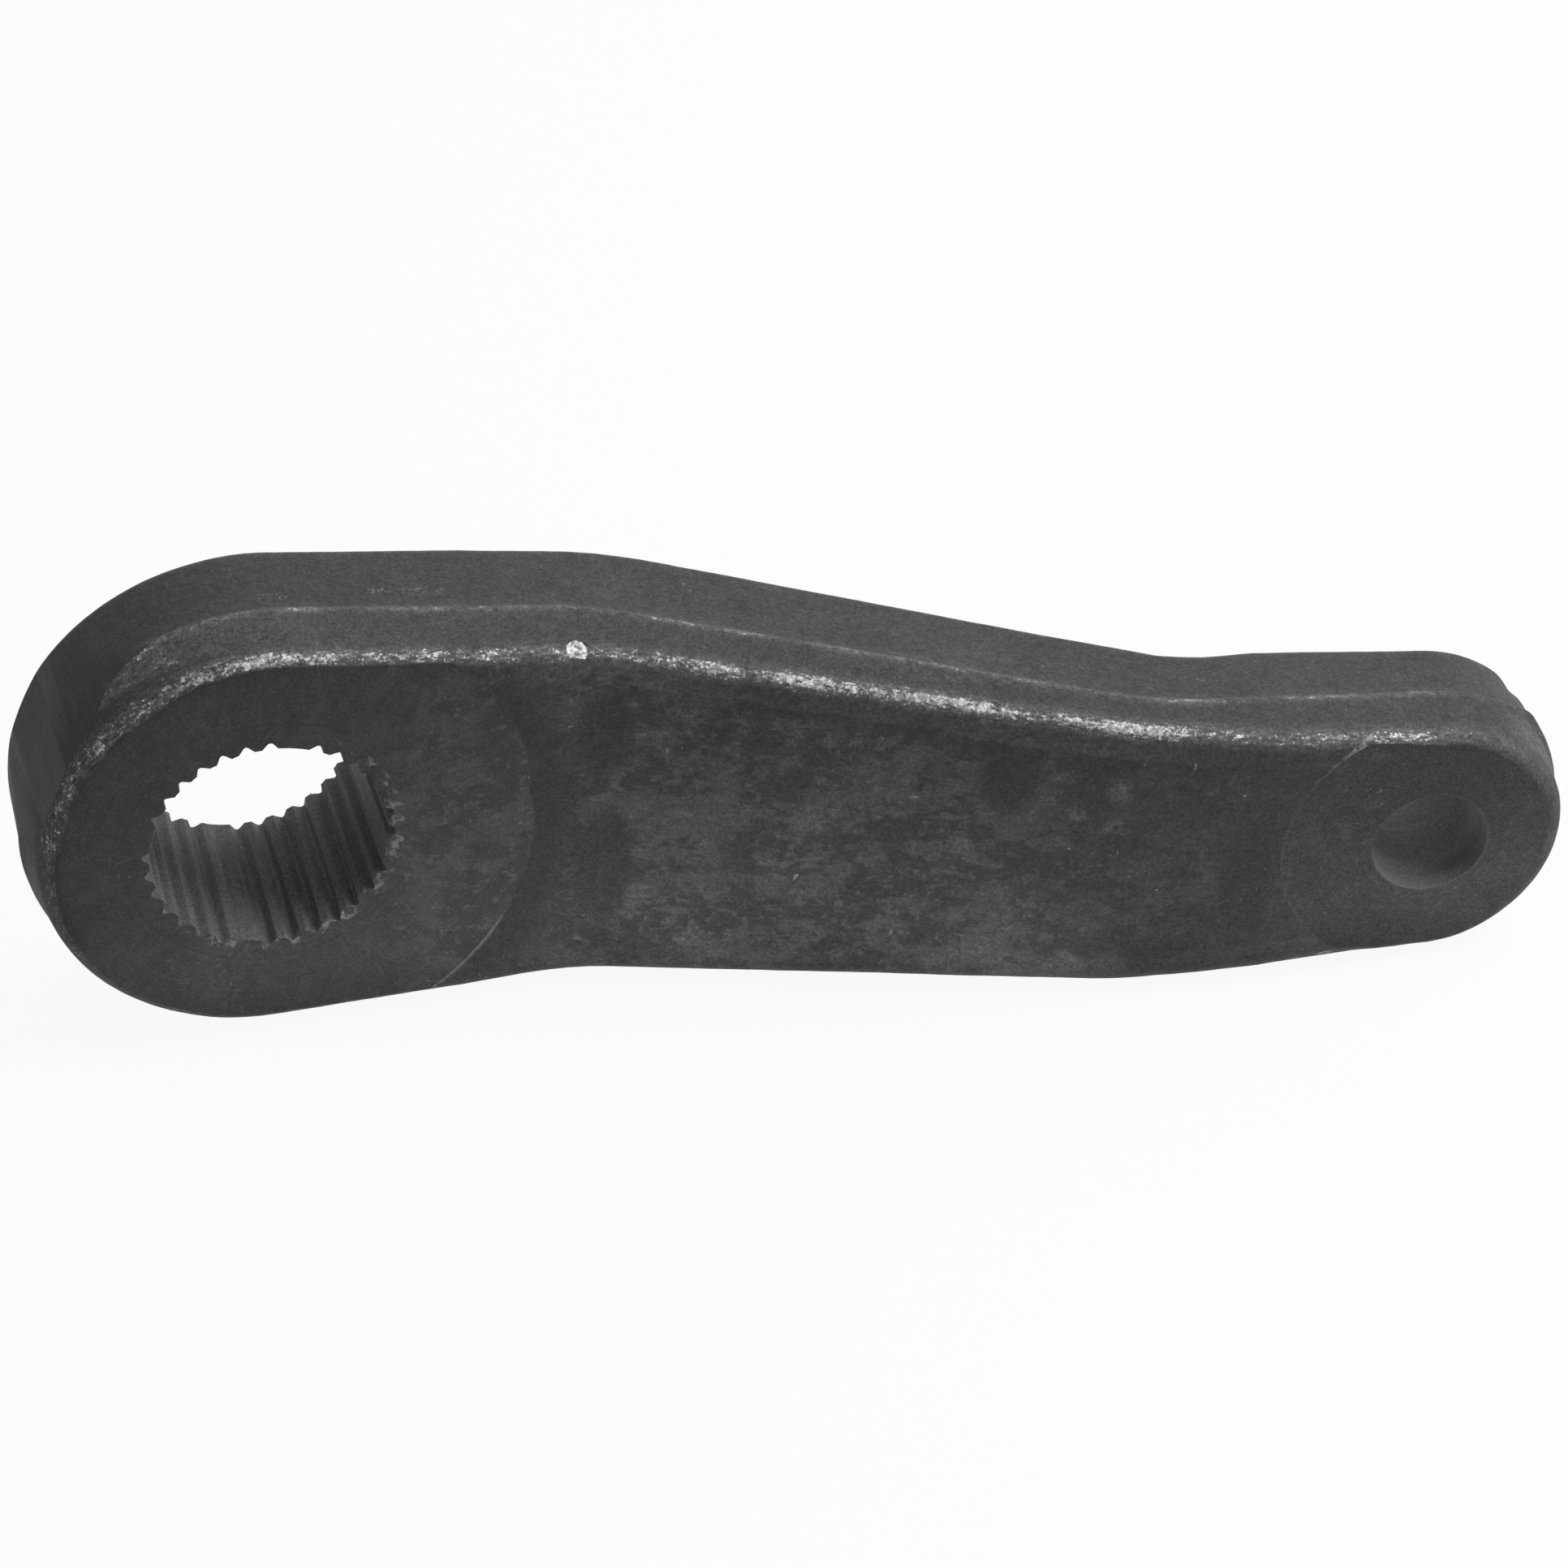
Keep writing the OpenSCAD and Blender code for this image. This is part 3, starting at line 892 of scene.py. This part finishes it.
    # A pale lip on the skin at the small face's upper left, partly rubbed and partly a painted highlight.
    lip = f.times(f.ring(to_small, SMALL_SPOT_R + 0.15, 0.42), f.spot(*SMALL_EDGE_RUBBED_AND_LIT))
    lip = f.times(lip, broken)
    weights = ((worn, 1.0), (line, 0.45), (stray, 0.35), (scrape, 0.4), (lip, 0.5), (nick, 1.0))
    bare = f.most(f.times(mask, weight) for mask, weight in weights)
    bright = f.blend(f.band(f.grain(1400, 4, 0.65), 0.40, 0.62), DULL_STEEL, BRIGHT_STEEL)
    shade = f.blend(bare, shade, bright)
    rough = f.sum("SUBTRACT", 0.64, f.times(bare, 0.2))
    pits = f.bump(f.grain(420, 5, 0.62), 0.00020)
    grit = f.bump(lumps, 0.00014, pits)
    fine = f.bump(sand, 0.00008, grit)
    return f.wear(shade, rough, fine, f.times(bare, 0.12))


def milled_face():
    """The two eyes' milled faces, darkened with the rest, with the faint arcs of the face cutter."""
    f = Finish("milled_face")
    rub_and_shine = f.note("rubbed_and_highlit_edge")
    lumps, sand, dust = f.lumps(), f.sand(), f.dust()
    along_arm, up = f.axis("X"), f.axis("Z")
    to_big, to_small = f.radius((0, 0, 0)), f.radius((CENTRES, 0, 0))

    # Paler patches, most of them right of the splined bore, and painted light low on the small eye
    blots = f.band(f.grain(170, 7, 0.7), 0.47, 0.57)
    specks = f.band(f.grain(480, 6, 0.7), 0.52, 0.64)
    clouds = f.band(f.grain(48, 4, 0.5), 0.36, 0.66)
    right = f.between(along_arm, 0.008, 0.026, 0.04, 0.06)
    patches = f.most((f.times(blots, 0.45), f.times(specks, 0.9)))
    patches = f.times(patches, f.sum("ADD", 0.12, f.times(f.most((f.times(clouds, 0.3), right)), 0.75)))
    shade = f.blend(patches, MILLED_DARK, PALE_SCALE)
    # Painted light: paler low on the small eye's face.
    low = f.times(f.band(along_arm, 0.138, 0.154), f.band(up, -0.010, -0.022))
    shade = f.blend(f.times(low, 0.5), shade, MILLED_PAINTED_LIGHT)

    # Arcs of the cutter and the grain of the scale
    arcs = f.node("ShaderNodeTexNoise", noise_dimensions="1D")
    f.put(f.sum("MINIMUM", to_big, to_small), arcs.inputs["W"])
    arcs.inputs["Scale"].default_value = 1.7
    shade = f.mottle(shade, f.grain(90, 6, 0.7), 0.12)
    shade = f.mottle(shade, (arcs, "Fac"), 0.08)
    shade = f.mottle(shade, lumps, 0.16)
    shade = f.mottle(shade, sand, 0.3)
    shade = f.mottle(shade, dust, 0.38)

    # Bare steel on the burr round the bore and in stray flecks, and on the edges of the faces, partly as a
    # painted highlight
    torn_side = f.most((f.band(along_arm, 0.003, 0.013), f.band(up, -0.010, -0.015)))
    burr = f.times(f.ring(to_big, ROOT_R + 1.4, 1.1), torn_side)
    burr = f.times(burr, f.band(f.grain(520, 4, 0.6), 0.52, 0.62))
    upper_left = f.times(f.ring(to_small, SMALL_SPOT_R - 0.1, 0.36), f.spot(*SMALL_EDGE_RUBBED_AND_LIT))
    lower_right = f.times(f.ring(to_big, BIG_SPOT_R - 0.12, 0.3), f.spot(*BIG_EDGE_RUBBED_AND_LIT))
    # The step lines on the faces' edges are partly rubbed and partly a painted highlight where the step
    # catches the light.
    step = f.times(f.most((upper_left, f.times(lower_right, 0.5))), f.band(sand, 0.3, 0.5))
    strewn = f.most((right, f.band(f.grain(70, 3, 0.5), 0.5, 0.7)))
    stray = f.rubbed(f.grain(1100, 3, 0.55), strewn, 0.70, 0.80, 0.07)
    worn = f.rubbed(sand, f.times(rub_and_shine, 0.6), 0.70, 0.82)
    weights = ((worn, 1.0), (stray, 0.3), (step, 0.8), (burr, 0.4))
    bare = f.most(f.times(mask, weight) for mask, weight in weights)
    shade = f.blend(bare, shade, CUT_STEEL)
    turned = f.bump((arcs, "Fac"), 0.00002)
    grit = f.bump(lumps, 0.00009, turned)
    fine = f.bump(sand, 0.00007, grit)
    return f.wear(shade, f.sum("SUBTRACT", 0.62, f.times(bare, 0.2)), fine, f.times(bare, 0.3))


def broached_wall():
    """The splined bore's wall: fine streaks along the bore under a thin brown film."""
    f = Finish("broached_wall")
    rub_and_shine = f.note("rubbed_and_highlit_edge")
    streak = f.grain(700, 4, 0.6, 0.0, (1, 0.05, 1))
    sand = f.sand()
    lower = f.times(f.band(f.axis("X"), 0.006, -0.008), f.band(f.axis("Z"), 0.0, -0.008))
    film = f.times(f.band(f.grain(110, 3, 0.5), 0.35, 0.65), f.sum("ADD", 0.2, f.times(lower, 0.8)))
    shade = f.blend(f.times(film, 0.6), BROACHED_STEEL, BROWN_FILM)
    shade = f.mottle(shade, streak, 0.15)
    shade = f.mottle(shade, sand, 0.3)
    shade = f.mottle(shade, f.dust(), 0.35)
    bare = f.rubbed(sand, rub_and_shine, 0.70, 0.82)
    shade = f.blend(bare, shade, CUT_STEEL)
    lines = f.bump(streak, 0.00003)
    return f.wear(shade, 0.6, f.bump(sand, 0.00005, lines), f.times(bare, 0.3), 0.2)


def reamed_wall():
    """The stud hole's wall, with the reamer's faint rings. Painted shade darkens it at the mouth, and painted
    light lifts it deeper in and on its lower side.
    """
    f = Finish("reamed_wall")
    ring = f.grain(600, 3, 0.6, 0.0, (0.05, 1, 0.05))
    sand = f.sand()
    # Painted shade at the mouth, and painted light deeper in and on the lower side
    deep = f.band(f.axis("Y"), -0.0206, -0.0145)
    below = f.times(f.band(f.axis("Z"), -0.001, -0.006), 0.42)
    shade = f.mottle(f.blend(f.most((deep, below)), REAMED_MOUTH_SHADE, REAMED_DEEP_LIT), ring, 0.12)
    shade = f.mottle(shade, sand, 0.25)
    shade = f.mottle(shade, f.dust(), 0.3)
    lines = f.bump(ring, 0.00003)
    return f.wear(shade, 0.6, f.bump(sand, 0.00005, lines), 0.0, 0.2)


def trimmed_wall():
    """The sheared end of the big eye: darker and closer-grained than the skin, with faint drag marks."""
    f = Finish("trimmed_wall")
    drag = f.grain(500, 4, 0.62, 0.0, (1, 0.18, 1))
    sand = f.sand()
    clouds = f.band(f.grain(70, 4, 0.55), 0.35, 0.65)
    shade = f.blend(f.times(clouds, 0.5), SHEARED_DARK, SHEARED_PALE)
    shade = f.mottle(shade, drag, 0.25)
    shade = f.mottle(shade, sand, 0.42)
    shade = f.mottle(shade, f.dust(), 0.35)
    lines = f.bump(drag, 0.00006)
    return f.wear(shade, 0.64, f.bump(sand, 0.00007, lines))


def tested_spot():
    """The ground flat of the hardness test: bare steel with a few dark pits left in it."""
    f = Finish("tested_spot")
    pits = f.band(f.grain(1500, 5, 0.7), 0.40, 0.58)
    shade = f.blend(pits, TEST_PITS, TEST_FLAT)
    return f.wear(shade, 0.42, f.bump(f.grain(1300, 4, 0.66), 0.00006), 0.2, 0.5)


def build_arm():
    finishes = [scaled_skin(), milled_face(), broached_wall(), reamed_wall(), trimmed_wall(), tested_spot()]
    bm = raw_forging()
    forge_skin(bm)
    arm = as_object("pitman_arm_forging", bm, finishes)
    machine(arm, [
        (trim_shear(), TRIMMED),
        (test_spot(), TESTED),
        (spot_cutter(0, BIG_SPOT_R, 0.0, 1, BIG_RINGS, BIG_TURN), MILLED),
        (spot_cutter(0, BIG_SPOT_R, -BIG_T, -1, BIG_RINGS, BIG_TURN), MILLED),
        (spot_cutter(CENTRES, SMALL_SPOT_R, DROP, 1, SMALL_RINGS, SMALL_TURN), MILLED),
        (spot_cutter(CENTRES, SMALL_SPOT_R, DROP - SMALL_T, -1, SMALL_RINGS, SMALL_TURN), MILLED),
        (broach(), BROACHED),
        (stud_reamer(), REAMED),
    ])
    finish_mesh(arm)
    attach(arm, "root")
    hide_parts("pitman_arm")


# The studio

# The table: half width, shades to bounced light and to the camera, share of plain white it is seen with
TABLE_HALF = 6
TABLE_TO_LIGHT, TABLE_TO_CAMERA = (0.5, 0.5, 0.5, 1), (0.9, 0.9, 0.9, 1)
TABLE_GLOW = 0.93
# How strongly the room lights the arm: all round, from behind, and the share that is left on the left side
ROOM_ROUND, ROOM_BEHIND, ROOM_LEFT = 0.22, 0.60, 0.33
# Lamps and the pale cards at the foot of the front face: name, place, aim, width, height, watts
LAMPS = (
    ("overhead_right", (0.74, -0.05, 0.72), (0.07, 0, 0), 0.7, 0.7, 8.6),
    ("card_at_big_eye", (0.018, -0.016, -0.0318), (0.018, -0.008, 0.05), 0.08, 0.018, 0.0083),
    ("card_at_web", (0.080, -0.026, -0.0318), (0.080, -0.018, 0.05), 0.05, 0.018, 0.0048),
    ("card_at_small_eye", (0.150, -0.038, -0.0318), (0.150, -0.030, 0.05), 0.07, 0.018, 0.0061),
)
# The camera in the forging's own frame, as fitted to the photograph
CAMERA_AT = Vector((-291.081, 1071.694, 1307.709))
CAMERA_RIGHT = Vector((0.974528, 0.066158, 0.214286))
CAMERA_UP = Vector((0.082574, 0.782523, -0.617122))
CAMERA_BACK = Vector((-0.208511, 0.619097, 0.757127))
SENSOR, LENS = 36, 300.36


def link(tree, a, out, b, into):
    tree.links.new(a.outputs[out], b.inputs[into])


def math_node(tree, how):
    n = tree.nodes.new("ShaderNodeMath")
    n.operation = how
    return n


def seen_or_mirrored(tree, value=None):
    """1 for what the camera sees directly or in gloss and glass, else the value of another node."""
    path = tree.nodes.new("ShaderNodeLightPath")
    for ray in ("Is Camera Ray", "Is Glossy Ray", "Is Transmission Ray"):
        n = math_node(tree, "MAXIMUM")
        n.inputs[0].default_value = 0.0
        if value:
            link(tree, value, "Value", n, 0)
        link(tree, path, ray, n, 1)
        value = n
    return value


def pale_floor(level):
    """A white table, seen as plain white and still darkened by the arm's shadow."""
    bm = bmesh.new()
    bmesh.ops.create_grid(bm, x_segments=1, y_segments=1, size=TABLE_HALF)
    bmesh.ops.translate(bm, verts=bm.verts[:], vec=(0, 0, level))
    material = bpy.data.materials.new("white_table")
    material.use_nodes = True
    tree = material.node_tree
    tree.nodes.clear()
    out = tree.nodes.new("ShaderNodeOutputMaterial")
    mix = tree.nodes.new("ShaderNodeMixShader")
    lit = tree.nodes.new("ShaderNodeBsdfDiffuse")
    glow = tree.nodes.new("ShaderNodeEmission")
    path = tree.nodes.new("ShaderNodeLightPath")
    paper = tree.nodes.new("ShaderNodeMix")
    paper.data_type = "RGBA"
    paper.inputs[6].default_value = TABLE_TO_LIGHT
    paper.inputs[7].default_value = TABLE_TO_CAMERA
    share = math_node(tree, "MULTIPLY")
    share.inputs[1].default_value = TABLE_GLOW
    link(tree, path, "Is Camera Ray", paper, "Factor")
    link(tree, paper, 2, lit, "Color")
    link(tree, seen_or_mirrored(tree), "Value", share, 0)
    link(tree, share, "Value", mix, 0)
    link(tree, lit, 0, mix, 1)
    link(tree, glow, 0, mix, 2)
    link(tree, mix, 0, out, "Surface")
    floor = as_object("table", bm, [material])


def white_room():
    """A white room to the camera and in gloss. It lights the arm more from behind and less from the left."""
    world = bpy.data.worlds.new("white_room")
    bpy.context.scene.world = world
    world.use_nodes = True
    tree = world.node_tree
    paper = tree.nodes["Background"]
    paper.inputs["Color"].default_value = (1, 1, 1, 1)
    way = tree.nodes.new("ShaderNodeTexCoord")
    split = tree.nodes.new("ShaderNodeSeparateXYZ")
    link(tree, way, "Generated", split, "Vector")
    depth = span_node(tree, -0.2, 0.8, ROOM_ROUND, ROOM_BEHIND)
    link(tree, split, "Y", depth, "Value")
    side = span_node(tree, -0.7, 0.2, ROOM_LEFT, 1.0)
    link(tree, split, "X", side, "Value")
    lit = math_node(tree, "MULTIPLY")
    link(tree, depth, "Result", lit, 0)
    link(tree, side, "Result", lit, 1)
    link(tree, seen_or_mirrored(tree, lit), "Value", paper, "Strength")


def softbox(name, place, aim, wide, high, watts):
    light = bpy.data.lights.new(name, "AREA")
    light.shape = "RECTANGLE"
    light.size = wide
    light.size_y = high
    light.energy = watts
    obj = bpy.data.objects.new(name, light)
    obj.location = place
    obj.rotation_euler = (Vector(aim) - Vector(place)).to_track_quat("-Z", "Y").to_euler()
    obj.visible_camera = False
    bpy.context.scene.collection.objects.link(obj)


def camera():
    """The photograph's camera: a long lens from above on the front face's side."""
    turn = STAND.to_3x3().normalized()
    axes = Matrix([turn @ axis for axis in (CAMERA_RIGHT, CAMERA_UP, CAMERA_BACK)]).transposed()
    data = bpy.data.cameras.new("camera")
    data.sensor_width = SENSOR
    data.lens = LENS
    data.clip_end = 50
    obj = bpy.data.objects.new("camera", data)
    obj.matrix_world = Matrix.Translation(STAND @ CAMERA_AT) @ axes.to_4x4()
    bpy.context.scene.collection.objects.link(obj)
    bpy.context.scene.camera = obj


build_arm()
pale_floor(cad_low[2])
white_room()
for lamp in LAMPS:
    softbox(*lamp)
camera()
bpy.context.scene.view_settings.view_transform = "Standard"
